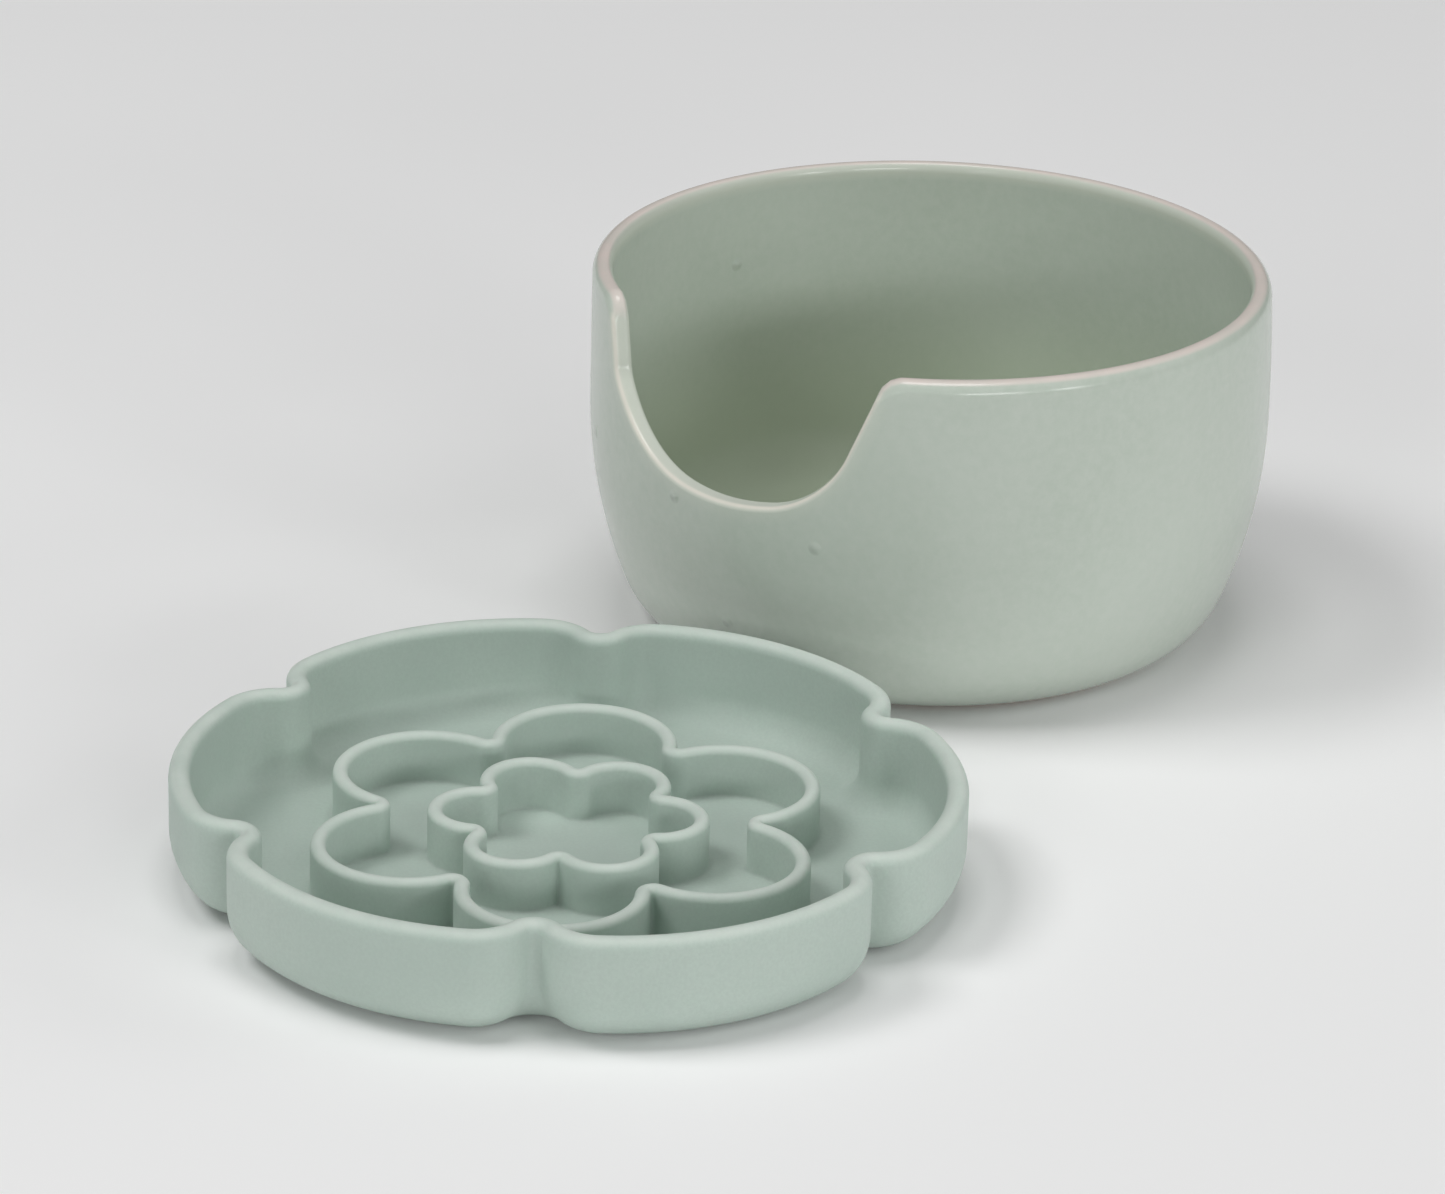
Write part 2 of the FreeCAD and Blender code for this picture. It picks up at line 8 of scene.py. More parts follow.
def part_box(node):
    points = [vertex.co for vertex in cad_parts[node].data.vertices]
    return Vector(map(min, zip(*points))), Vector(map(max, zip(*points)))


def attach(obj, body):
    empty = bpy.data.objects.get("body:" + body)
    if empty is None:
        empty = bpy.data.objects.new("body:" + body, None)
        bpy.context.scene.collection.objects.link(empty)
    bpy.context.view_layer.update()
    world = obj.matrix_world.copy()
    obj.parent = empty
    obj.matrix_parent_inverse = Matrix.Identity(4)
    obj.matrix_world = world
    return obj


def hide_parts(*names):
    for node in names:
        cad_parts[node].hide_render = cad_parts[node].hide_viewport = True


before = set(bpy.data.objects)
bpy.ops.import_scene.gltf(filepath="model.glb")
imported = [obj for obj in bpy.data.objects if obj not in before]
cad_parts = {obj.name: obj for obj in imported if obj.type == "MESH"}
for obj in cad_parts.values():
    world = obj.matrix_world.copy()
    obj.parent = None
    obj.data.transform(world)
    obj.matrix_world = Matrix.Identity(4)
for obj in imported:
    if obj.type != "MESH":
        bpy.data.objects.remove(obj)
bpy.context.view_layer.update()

# A glazed bowl with a notch for brushes, and a moulded silicone palette tray, on a plain pale floor.
# Each is one closed mesh built from rings. Angles are in degrees. Lengths are in millimetres in the
# shapes, which become metres when the mesh is made, and in metres in materials, lights and camera.

MM = 0.001
M_TO_MM = 1000.0

# The bowl, with the CAD source's values apart from FOOT_ROUND, which softens the foot ring's inner
# corners. Bends are radii of its outside, but INNER_BEND is the inside's. The wall is placed from the
# middle of its thickness. Each side of the notch has a reach at NOTCH_TOP, a lean, and a bend where it
# meets the bottom. Below EVEN_LEVEL the rings are level.
WALL = 4.8
HALF_WALL = WALL / 2
WIDEST_LEVEL = 54.0
UPPER_BEND = 480.0
LOWER_BEND = 115.0
BASE_BEND = 18.0
INNER_BEND = 20.0
FLOOR_LEVEL = 7.0
FOOT_WIDTH = 6.0
FOOT_RECESS = 1.6
FOOT_ROUND = 0.7
NOTCH_HEADING = -128.4
NOTCH_LEVEL = 51.8
NOTCH_BOTTOM = 65.0
NOTCH_TOP = 100.0
NOTCH_RIGHT = (41.4, 19.0, 23.0)
NOTCH_LEFT = (52.6, 27.0, 40.0)
EVEN_LEVEL = 38.0
BOWL_COLUMNS = 720

# How the bowl's stretches are divided: steps round a bend, or shares of the way along.
NOTCH_STEPS = 200
SHOULDER_STEPS = 80
BACK_STEPS = 900
SIDE_STEPS = 26
BASE_STEPS = 18
LOWER_STEPS = 10
INSIDE_STEPS = 8
INNER_STEPS = 20
FOOT_STEPS = 5
CORNER_STEPS = 8
LIP_STEPS = 4
HOLLOW_SHARES = (0.0, 0.2, 0.4, 0.6, 0.8, 0.95)
FOOT_SHARES = (0.4, 0.7)
BOTTOM_SHARES = (1.0, 0.95, 0.8, 0.6, 0.4, 0.2, 0.0)
TURN_FOLLOWS_EDGE = 0.5

# The open edge, a little crisper than in CAD, as in the photograph. It is built on a base line that
# runs LIP_DEPTH inside the material. Its corners are quarters of ellipses, given by their reach across
# the wall and along it. They change from the notch's to the rim's while the base line climbs from
# RIM_FROM to RIM_TO.
LIP_DEPTH = 4.2
RIM_OUTER = (2.8, 3.4)
RIM_INNER = (1.5, 2.4)
NOTCH_OUTER = (1.3, 1.3)
NOTCH_INNER = (1.3, 1.6)
NOTCH_SHOULDER = 5.4
RIM_FROM = 80.8
RIM_TO = 83.2

# Where the glaze changes, from nothing to fully: by level, by how far beyond the base line of the open
# edge, by how far across the wall from its middle, and by the distance in from the wall's outside.
# The first levels set where painted shade, darker and more olive, deepens down the inside of the bowl.
SHADED_LEVELS = (66.0, 20.0)
BARE_LEVELS = (1.3, 0.5)
THIN_BEYOND = (LIP_DEPTH - 1.1, LIP_DEPTH - 0.3)
# The line values place a painted highlight, a bright line along the notch's outer corner.
NOTCH_HIGHLIGHT_BEYOND = (LIP_DEPTH - 1.2, LIP_DEPTH - 0.4)
UNDER_BEYOND = (LIP_DEPTH - 1.8, LIP_DEPTH - 0.6)
PALE_BEYOND = (0.6, 2.2)
INNER_ACROSS = (-1.2, -1.9)
NOTCH_HIGHLIGHT_STARTS = (0.0, 0.5)
NOTCH_HIGHLIGHT_STOPS = (1.5, 0.7)

# The notch's left side is a little more upright towards the rim than CAD's straight side.
LEFT_DRAWN_IN = 5.0
DRAWN_IN_FROM = 65.0

# The bowl isn't quite round: its side stands more upright on the left.
UPRIGHT_BY = 1.1
UPRIGHT_AT = 180.0

# The tray, with the CAD source's values. Outlines follow the middle of a wall's thickness. The
# flowers have a petal's offset, its radius, and the radius of the valley between petals.
TRAY_TURN = -3.3
FLOOR = 4.0
BASE_ROUND = 12.0
WELL_ROUND = 7.0
OUTER_HALF = 2.4
FLOWER_HALF = 1.7
FLOWER_TOP = 15.6
FOOT_FILLET = 0.6
LOBE_OFFSET = 20.6
LOBE_RADIUS = 63.5
SHOULDER_RADIUS = 11.4
GROOVE_OFFSET = 78.9
GROOVE_RADIUS = 4.6
MIDDLE_FLOWER = (38.0, 19.1, 2.4)
INNER_FLOWER = (19.3, 9.7, 2.1)
LOBES = 6
HALF_SECTOR = 30.0
SMALLEST_VALLEY = 0.12

# How the tray's stretches are divided: points round a bend, steps round one, or shares of the way.
ARC_POINTS = (9, 11, 20)
PETAL_POINTS = 29
VALLEY_POINTS = 11
FLOWER_FOOT_STEPS = 4
FLOWER_TOP_STEPS = 14
UNDERSIDE_STEPS = 14
TOP_STEPS = 16
WELL_STEPS = 12
FLOWER_UP_SHARES = (0.3, 0.6, 0.85)
FLOWER_DOWN_SHARES = (0.15, 0.4, 0.7)
WALL_UP_SHARES = (0.25, 0.5, 0.75, 0.93)
WALL_DOWN_SHARES = (0.07, 0.3, 0.65)
UNDER_SHARES = (0.0, 0.15, 0.35, 0.6, 0.85, 0.97)
FLOOR_SHARES = (0.08, 0.3, 0.5, 0.7, 0.92)
CENTRE_SHARES = (0.1, 0.35, 0.6, 0.85, 1.0)

# How far below a wall's top its painted highlight, a paler crest, starts, and where it is full.
TOP_HIGHLIGHT_STARTS = 1.8
TOP_HIGHLIGHT_FULL = 0.4


def polar(radius, degrees):
    """A point in the plane from its distance and direction."""
    angle = math.radians(degrees)
    return Vector((radius * math.cos(angle), radius * math.sin(angle)))


def direction(start, end):
    """Direction from one point to another, in degrees."""
    step = end - start
    return math.degrees(math.atan2(step.y, step.x))


def arc(centre, radius, start, end, count):
    """Points along an arc, without its last point."""
    span = end - start
    return [centre + polar(radius, start + span * k / count) for k in range(count)]


def lerp(a, b, t):
    """The value a share t of the way from a to b."""
    return a + (b - a) * t


def smoothstep(low, high, value):
    """0 up to low, 1 from high on, and smooth between. Low may be the larger of the two."""
    t = min(1.0, max(0.0, (value - low) / (high - low)))
    return t * t * (3 - 2 * t)


def even(count):
    """Shares from 0 to 1, both included."""
    return [k / count for k in range(count + 1)]


# Meshes from rings


def ring_mesh(name, rings, masks):
    """A closed mesh: rings of equal length, a fan at each end. masks are values per ring and point."""
    mesh = bpy.data.meshes.new(name)
    count = len(rings[1])
    points = [rings[0][0]]
    for ring in rings[1:-1]:
        points.extend(ring)
    points.append(rings[-1][0])
    last = len(points) - 1
    faces = []
    for k in range(count):
        faces.append((0, 1 + (k + 1) % count, 1 + k))
    for row in range(len(rings) - 3):
        base = 1 + row * count
        for k in range(count):
            following = (k + 1) % count
            faces.append((base + k, base + following, base + count + following, base + count + k))
    base = 1 + (len(rings) - 3) * count
    for k in range(count):
        faces.append((base + k, base + (k + 1) % count, last))
    mesh.from_pydata([tuple(point * MM) for point in points], [], faces)
    for label, rows in masks.items():
        layer = mesh.attributes.new(label, "FLOAT", "POINT")
        values = [rows[0][0]]
        for row in rows[1:-1]:
            values.extend(row)
        values.append(rows[-1][0])
        layer.data.foreach_set("value", values)
    mesh.shade_smooth()
    mesh.validate()
    piece = bpy.data.objects.new(name, mesh)
    bpy.context.scene.collection.objects.link(piece)
    return piece


# The bowl


def node_frame(node):
    """Middle of a CAD node's box in plan, half its width, and its height, all in millimetres."""
    low, high = (corner * M_TO_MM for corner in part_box(node))
    middle = (low + high) / 2
    return Vector((middle.x, middle.y, low.z)), (high.x - low.x) / 2, high.z - low.z


BOWL_AT, BOWL_RADIUS, BOWL_HEIGHT = node_frame("notched_bowl")
TRAY_AT, _, TRAY_HEIGHT = node_frame("palette_tray")


def side_point(level):
    """Radius of the middle of the bowl's wall at a level, and the wall's normal (out, up) there."""
    bend = UPPER_BEND if level > WIDEST_LEVEL else LOWER_BEND
    middle_bend = bend - HALF_WALL
    rise = (level - WIDEST_LEVEL) / middle_bend
    flat = math.sqrt(1 - rise * rise)
    radius = BOWL_RADIUS - bend + middle_bend * flat
    return radius, (flat, rise)


def wall_point(azimuth, level, shift):
    """A point beside the middle of the wall: shift is outward along the wall's normal."""
    radius, (out, up) = side_point(level)
    flat = polar(radius + shift * out, azimuth)
    return Vector((flat.x, flat.y, level + shift * up))


def notch_side(reach, lean, bend):
    """One side of the open edge in the notch's plane, (across, level), from its bottom to the rim.

    The line runs LIP_DEPTH inside the material, so the lower arcs keep the centres they have in CAD.
    """
    bottom_centre = Vector((0, NOTCH_LEVEL + NOTCH_BOTTOM))
    upward = polar(1.0, 90.0 - lean)
    into = polar(1.0, -lean)
    top_end = Vector((reach, NOTCH_TOP))
    beside = top_end - into * bend - bottom_centre
    middle = beside.dot(upward)
    apart = beside.length_squared - middle ** 2
    step = -middle - math.sqrt((NOTCH_BOTTOM - bend) ** 2 - apart)
    corner_centre = top_end - into * bend + upward * step
    turn = direction(bottom_centre, corner_centre)
    rest = BOWL_HEIGHT - NOTCH_SHOULDER
    climb = (rest + NOTCH_SHOULDER * math.sin(math.radians(lean)) - NOTCH_TOP) / upward.y
    shoulder = top_end + upward * climb + into * NOTCH_SHOULDER
    points = arc(bottom_centre, NOTCH_BOTTOM + LIP_DEPTH, -90.0, turn, NOTCH_STEPS)
    points += arc(corner_centre, bend + LIP_DEPTH, turn, -lean, NOTCH_STEPS)
    points += arc(shoulder, NOTCH_SHOULDER - LIP_DEPTH, 180.0 - lean, 90.0, SHOULDER_STEPS)
    points.append(Vector((shoulder.x, BOWL_HEIGHT - LIP_DEPTH)))
    return points


def edge_curve():
    """The base line of the open edge as (turn from the notch, level), all the way round."""
    rim = BOWL_HEIGHT - LIP_DEPTH

    def turned(points, drawn_in):
        result = []
        for point in points:
            across = point.x - drawn_in * smoothstep(DRAWN_IN_FROM, rim, point.y)
            result.append((math.degrees(math.asin(across / side_point(point.y)[0])), point.y))
        return result

    right = turned(notch_side(*NOTCH_RIGHT), 0.0)
    left = [(360.0 - turn, level) for turn, level in turned(notch_side(*NOTCH_LEFT), LEFT_DRAWN_IN)]
    back = [(lerp(right[-1][0], left[-1][0], share), rim) for share in even(BACK_STEPS)[1:-1]]
    return right + back + left[:0:-1]


def even_along(curve, count):
    """count points of equal spacing along a closed curve of (turn, level)."""
    closed = curve + [(curve[0][0] + 360.0, curve[0][1])]
    places = [wall_point(turn, level, 0.0) for turn, level in closed]
    lengths = [0.0]
    for a, b in zip(places, places[1:]):
        lengths.append(lengths[-1] + (b - a).length)
    result = []
    k = 0
    for index in range(count):
        target = lengths[-1] * index / count
        while lengths[k + 1] < target:
            k += 1
        t = (target - lengths[k]) / (lengths[k + 1] - lengths[k])
        a, b = closed[k], closed[k + 1]
        result.append((lerp(a[0], b[0], t), lerp(a[1], b[1], t)))
    return result


def lip_frames(edge):
    """For each point of the edge: its place, the wall's normal, and the way out of the material."""
    places = [wall_point(NOTCH_HEADING + turn, level, 0.0) for turn, level in edge]
    frames = []
    for k, (turn, level) in enumerate(edge):
        along = places[(k + 1) % len(edge)] - places[k - 1]
        _, (out, up) = side_point(level)
        flat = polar(out, NOTCH_HEADING + turn)
        normal = Vector((flat.x, flat.y, up))
        outward = normal.cross(along).normalized()
        if outward.z < 0:
            outward.negate()
        frames.append((places[k], normal, outward))
    return frames


def profile_below():
    """Sections of the bowl under the even level: outside from the axis up, and inside down to it."""
    lower = Vector((BOWL_RADIUS - LOWER_BEND, WIDEST_LEVEL))

    def corner_centre(bend, radius, rest):
        drop = WIDEST_LEVEL - rest - radius
        return Vector((lower.x + math.sqrt((bend - radius) ** 2 - drop ** 2), rest + radius))

    base = corner_centre(LOWER_BEND, BASE_BEND, 0.0)
    inner = corner_centre(LOWER_BEND - WALL, INNER_BEND, FLOOR_LEVEL)
    even_turn = -math.degrees(math.asin((WIDEST_LEVEL - EVEN_LEVEL) / (LOWER_BEND - HALF_WALL)))
    foot_in = base.x - FOOT_WIDTH
    base_turn = direction(lower, base)
    inner_turn = direction(lower, inner)
    outside = [Vector((foot_in * share, FOOT_RECESS)) for share in HOLLOW_SHARES]
    recess_corner = Vector((foot_in - FOOT_ROUND, FOOT_RECESS - FOOT_ROUND))
    outside += arc(recess_corner, FOOT_ROUND, 90.0, 0.0, FOOT_STEPS)
    ring_corner = Vector((foot_in + FOOT_ROUND, FOOT_ROUND))
    outside += arc(ring_corner, FOOT_ROUND, 180.0, 270.0, FOOT_STEPS)
    outside.append(Vector((foot_in + FOOT_ROUND, 0.0)))
    outside += [Vector((lerp(foot_in, base.x, share), 0.0)) for share in FOOT_SHARES]
    outside += arc(base, BASE_BEND, -90.0, base_turn, BASE_STEPS)
    outside += arc(lower, LOWER_BEND, base_turn, even_turn, LOWER_STEPS)
    inside = arc(lower, LOWER_BEND - WALL, even_turn, inner_turn, INSIDE_STEPS)[1:]
    inside += arc(inner, INNER_BEND, inner_turn, -90.0, INNER_STEPS)
    inside += [Vector((inner.x * share, FLOOR_LEVEL)) for share in BOTTOM_SHARES]
    return outside, inside


def make_bowl():
    """The bowl as rings: foot, outside, over the lip, and down the inside to its floor.

    The turns of the level rings are halfway between even spacing and the edge's own spacing.
    """
    edge = even_along(edge_curve(), BOWL_COLUMNS)
    low = []
    for k, (turn, _) in enumerate(edge):
        low.append(lerp(360.0 * k / BOWL_COLUMNS, turn, TURN_FOLLOWS_EDGE))
    outside, inside = profile_below()
    rises = [math.sin(math.radians(90.0 * share)) for share in even(SIDE_STEPS)]

    def turned(section):
        rings = []
        for point in section:
            spots = [polar(point.x, NOTCH_HEADING + turn) for turn in low]
            rings.append([Vector((spot.x, spot.y, point.y)) for spot in spots])
        return rings

    def blended(shift):
        rings = []
        for rise in rises:
            ring = []
            for turn, (edge_turn, edge_level) in zip(low, edge):
                azimuth = NOTCH_HEADING + lerp(turn, edge_turn, rise)
                ring.append(wall_point(azimuth, lerp(EVEN_LEVEL, edge_level, rise), shift))
            rings.append(ring)
        return rings

    frames = lip_frames(edge)
    lip, lip_marks = make_lip(edge, frames)
    rings = turned(outside) + blended(HALF_WALL) + lip + blended(-HALF_WALL)[::-1] + turned(inside)
    before = len(outside) + len(rises)
    marks = {}
    for name, rows in lip_marks.items():
        blank = [[0.0] * BOWL_COLUMNS]
        marks[name] = blank * before + rows + blank * (len(rings) - before - len(rows))
    turn_over = before + len(lip_marks["thin"])
    # Painted shade: the inside grows darker and more olive towards its floor.
    marks["painted_shade"] = []
    for row, ring in enumerate(rings):
        within = 1.0 if row >= turn_over else 0.0
        marks["painted_shade"].append([within * smoothstep(*SHADED_LEVELS, point.z) for point in ring])
    marks["foot"] = [[smoothstep(*BARE_LEVELS, point.z) for point in ring] for ring in rings]
    placed = [[upright(point) + BOWL_AT for point in ring] for ring in rings]
    return ring_mesh("glazed_bowl", placed, marks)


def upright(point):
    """The point moved outwards where the bowl's side stands more upright."""
    rise = max(0.0, (point.z - WIDEST_LEVEL) / (BOWL_HEIGHT - WIDEST_LEVEL))
    flat = Vector((point.x, point.y))
    facing = max(0.0, flat.dot(polar(1.0, UPRIGHT_AT)) / max(flat.length, 1.0))
    moved = flat + flat.normalized() * (UPRIGHT_BY * rise * rise * facing * facing)
    return Vector((moved.x, moved.y, point.z))


def rim_share(level):
    """1 on the rim, 0 in the notch, from the base line's level."""
    return smoothstep(RIM_FROM, RIM_TO, level)


def lip_section(share):
    """Points (across the wall, beyond the base line) over the lip, from its outside to its inside."""
    outer = [lerp(a, b, share) for a, b in zip(NOTCH_OUTER, RIM_OUTER)]
    inner = [lerp(a, b, share) for a, b in zip(NOTCH_INNER, RIM_INNER)]
    points = []
    for step in even(CORNER_STEPS):
        angle = math.radians(90.0 * step)
        across = HALF_WALL - outer[0] * (1 - math.cos(angle))
        points.append((across, LIP_DEPTH - outer[1] * (1 - math.sin(angle))))
    start = HALF_WALL - outer[0]
    end = -HALF_WALL + inner[0]
    points += [(lerp(start, end, step), LIP_DEPTH) for step in even(LIP_STEPS)[1:-1]]
    for step in even(CORNER_STEPS):
        angle = math.radians(90.0 * step)
        across = -HALF_WALL + inner[0] * (1 - math.sin(angle))
        points.append((across, LIP_DEPTH - inner[1] * (1 - math.cos(angle))))
    return points


def make_lip(edge, frames):
    """The rings over the open edge, and masks for where its glaze differs.

    On the rim, thin is the clay showing on top and pale is the inner corner. In the notch, line is a
    painted highlight beside the outer corner, and under is the pale glaze around it.
    """
    sections = [lip_section(rim_share(level)) for _, level in edge]
    rings = []
    marks = {"thin": [], "pale": [], "line": [], "under": []}
    for row in range(len(sections[0])):
        ring = []
        rows = {name: [] for name in marks}
        for (_, level), (place, normal, out), section in zip(edge, frames, sections):
            across, beyond = section[row]
            share = rim_share(level)
            ring.append(place + normal * across + out * beyond)
            inner = smoothstep(*INNER_ACROSS, across)
            depth = HALF_WALL - across
            corner = smoothstep(*NOTCH_HIGHLIGHT_STARTS, depth) * smoothstep(*NOTCH_HIGHLIGHT_STOPS, depth)
            rows["thin"].append(share * smoothstep(*THIN_BEYOND, beyond) * (1 - inner))
            rows["pale"].append(smoothstep(*PALE_BEYOND, beyond) * inner * share)
            # Painted highlight along the notch's outer corner.
            rows["line"].append((1 - share) * corner * smoothstep(*NOTCH_HIGHLIGHT_BEYOND, beyond))
            rows["under"].append((1 - share) * smoothstep(*UNDER_BEYOND, beyond))
        rings.append(ring)
        for name in marks:
            marks[name].append(rows[name])
    return rings, marks


# The tray


def shoulder_centre(lobe, groove, from_lobe, from_groove):
    """Where a circle about the lobe's centre and one about the groove's centre cross."""
    span = groove - lobe
    along = (from_lobe ** 2 - from_groove ** 2 + span.length_squared) / (2 * span.length)
    aside = math.sqrt(from_lobe ** 2 - along ** 2)
    unit = span.normalized()
    left = Vector((-unit.y, unit.x))
    return lobe + unit * along + left * aside


def lobed_half(shift):
    """Half a sector of the outer wall's outline, from the groove's axis to the lobe's axis."""
    groove = Vector((GROOVE_OFFSET, 0.0))
    lobe = polar(LOBE_OFFSET, HALF_SECTOR)
    lobe_radius = LOBE_RADIUS + shift
    shoulder_radius = SHOULDER_RADIUS + shift
    groove_radius = GROOVE_RADIUS - shift
    centre = shoulder_centre(lobe, groove, lobe_radius - shoulder_radius, shoulder_radius + groove_radius)
    if centre.y < 0:
        raise ValueError("the shoulder is on the wrong side")
    groove_turn = direction(groove, centre)
    lobe_turn = direction(lobe, centre)
    first, second, third = ARC_POINTS
    points = arc(groove, groove_radius, 180.0, groove_turn, first)
    points += arc(centre, shoulder_radius, groove_turn - 180.0, lobe_turn, second)
    points += arc(lobe, lobe_radius, lobe_turn, HALF_SECTOR, third)
    points.append(lobe + polar(lobe_radius, HALF_SECTOR))
    return points


def petal_half(flower, shift):
    """Half a sector of a flower wall's outline, from a petal's axis to the valley's axis."""
    offset, petal, valley = flower
    petal_radius = petal + shift
    valley_radius = max(valley - shift, SMALLEST_VALLEY)
    reach = offset * math.cos(math.radians(HALF_SECTOR))
    far = reach + math.sqrt(reach ** 2 - offset ** 2 + (petal_radius + valley_radius) ** 2)
    centre = Vector((offset, 0.0))
    beside = polar(far, HALF_SECTOR)
    turn = direction(centre, beside)
    points = arc(centre, petal_radius, 0.0, turn, PETAL_POINTS)
    points += arc(beside, valley_radius, turn - 180.0, HALF_SECTOR - 180.0, VALLEY_POINTS)
    points.append(beside + polar(valley_radius, HALF_SECTOR - 180.0))
    return points


def reflected(point, degrees):
    """The mirror image of a point in the line through the middle at an angle."""
    axis = polar(1.0, degrees)
    return axis * (2 * point.dot(axis)) - point


def mirrored(points):
    """The half sector reflected in its own middle, so that it starts where a valley is."""
    return [reflected(point, HALF_SECTOR / 2) for point in reversed(points)]


def whole_ring(half):
    """A closed ring from half a sector, in the tray's own frame, where a groove points along +Y."""
    ring = []
    for turn in range(LOBES):
        spin = Matrix.Rotation(math.radians(2 * HALF_SECTOR * turn + 90.0), 2)
        ring.extend(spin @ point for point in half[:-1])
        ring.extend(spin @ reflected(point, HALF_SECTOR) for point in reversed(half[1:]))
    return ring


def lobed_ring(shift):
    return whole_ring(lobed_half(shift))


def middle_ring(shift):
    return whole_ring(petal_half(MIDDLE_FLOWER, shift))


def inner_ring(shift):
    return whole_ring(mirrored(petal_half(INNER_FLOWER, shift)))


def between(first, second, shares):
    """Rings that lie between two others."""
    return [[a.lerp(b, share) for a, b in zip(first, second)] for share in shares]


def at_level(ring, level):
    """A flat ring at a height."""
    return [Vector((point.x, point.y, level)) for point in ring]


def flower_wall(ring_of):
    """Up the outside of a flower wall, over its round top and down the inside."""
    rings = []
    for share in even(FLOWER_FOOT_STEPS):
        angle = math.radians(90.0 * share)
        shift = FLOWER_HALF + FOOT_FILLET * (1 - math.sin(angle))
        rings.append(at_level(ring_of(shift), FLOOR + FOOT_FILLET * (1 - math.cos(angle))))
    centre = FLOWER_TOP - FLOWER_HALF
    for share in FLOWER_UP_SHARES:
        rings.append(at_level(ring_of(FLOWER_HALF), lerp(FLOOR + FOOT_FILLET, centre, share)))
    for share in even(FLOWER_TOP_STEPS):
        angle = math.pi * share
        shift = FLOWER_HALF * math.cos(angle)
        rings.append(at_level(ring_of(shift), centre + FLOWER_HALF * math.sin(angle)))
    for share in FLOWER_DOWN_SHARES:
        rings.append(at_level(ring_of(-FLOWER_HALF), lerp(centre, FLOOR + FOOT_FILLET, share)))
    for share in even(FLOWER_FOOT_STEPS):
        angle = math.radians(90.0 * share)
        shift = -FLOWER_HALF - FOOT_FILLET * (1 - math.cos(angle))
        rings.append(at_level(ring_of(shift), FLOOR + FOOT_FILLET * (1 - math.sin(angle))))
    return rings


def outer_wall():
    """From the edge of the flat underside, round and up the outside, over the top and down."""
    rings = []
    for share in even(UNDERSIDE_STEPS):
        angle = math.radians(90.0 * (1 - share))
        shift = OUTER_HALF - BASE_ROUND * (1 - math.cos(angle))
        rings.append(at_level(lobed_ring(shift), BASE_ROUND * (1 - math.sin(angle))))
    top = TRAY_HEIGHT - OUTER_HALF
    for share in WALL_UP_SHARES:
        rings.append(at_level(lobed_ring(OUTER_HALF), lerp(BASE_ROUND, top, share)))
    for share in even(TOP_STEPS):
        angle = math.pi * share
        shift = OUTER_HALF * math.cos(angle)
        rings.append(at_level(lobed_ring(shift), top + OUTER_HALF * math.sin(angle)))
    bottom = FLOOR + WELL_ROUND
    for share in WALL_DOWN_SHARES:
        rings.append(at_level(lobed_ring(-OUTER_HALF), lerp(top, bottom, share)))
    for share in even(WELL_STEPS):
        angle = math.radians(90.0 * share)
        shift = -OUTER_HALF - WELL_ROUND * (1 - math.cos(angle))
        rings.append(at_level(lobed_ring(shift), FLOOR + WELL_ROUND * (1 - math.sin(angle))))
    return rings


def make_tray():
    """The tray as rings: underside, outer wall, and over each flower wall to the middle."""
    outer = outer_wall()
    middle = flower_wall(middle_ring)
    inner = flower_wall(inner_ring)
    centre = [Vector((0.0, 0.0, 0.0))] * len(outer[0])
    under = between(centre, outer[0], UNDER_SHARES)
    first_floor = between(outer[-1], middle[0], FLOOR_SHARES)
    second_floor = between(middle[-1], inner[0], FLOOR_SHARES)
    top_centre = [Vector((0.0, 0.0, FLOOR))] * len(outer[0])
    last_floor = between(inner[-1], top_centre, CENTRE_SHARES)
    rings = under + outer + first_floor + middle + second_floor + inner + last_floor
    spin = Matrix.Rotation(math.radians(TRAY_TURN), 3, "Z")
    placed = [[spin @ point + TRAY_AT for point in ring] for ring in rings]
    # Painted highlight on the tops of the walls.
    painted_highlight = painted_highlights(under, TRAY_HEIGHT) + painted_highlights(outer, TRAY_HEIGHT)
    painted_highlight += painted_highlights(first_floor + middle + second_floor + inner + last_floor, FLOWER_TOP)
    return ring_mesh("silicone_tray", placed, {"painted_highlight": painted_highlight})


def painted_highlights(rings, top):
    """1 on the rounded top of a wall, where a highlight is painted, 0 elsewhere."""
    start = top - TOP_HIGHLIGHT_STARTS
    full = top - TOP_HIGHLIGHT_FULL
    return [[smoothstep(start, full, point.z) for point in ring] for ring in rings]


# Materials


def new_material(name):
    """A material with its Principled shader."""
    material = bpy.data.materials.new(name)
    material.use_nodes = True
    tree = material.node_tree
    return material, tree, tree.nodes["Principled BSDF"]


def add_node(tree, kind, **settings):
    """A node with its settings; inputs are given as a dict of socket to value or output."""
    inputs = settings.pop("inputs", {})
    node = tree.nodes.new(kind)
    for name, value in settings.items():
        setattr(node, name, value)
    for socket, value in inputs.items():
        if isinstance(value, bpy.types.NodeSocket):
            tree.links.new(value, node.inputs[socket])
        else:
            node.inputs[socket].default_value = value
    return node


def noise(tree, where, scale, detail, roughness):
    """Noise over the object's own coordinates; scale is in cells per metre."""
    inputs = {"Vector": where, "Scale": scale, "Detail": detail, "Roughness": roughness}
    return add_node(tree, "ShaderNodeTexNoise", inputs=inputs).outputs["Fac"]


def in_range(tree, value, low, high, out_low, out_high):
    """A value stretched from one range to another, and clamped."""
    inputs = {"Value": value, 1: low, 2: high, 3: out_low, 4: out_high}
    return add_node(tree, "ShaderNodeMapRange", inputs=inputs).outputs["Result"]


def mix_colour(tree, share, first, second):
    """A colour between two others."""
    node = add_node(tree, "ShaderNodeMix", data_type="RGBA", inputs={0: share, 6: first, 7: second})
    return node.outputs[2]


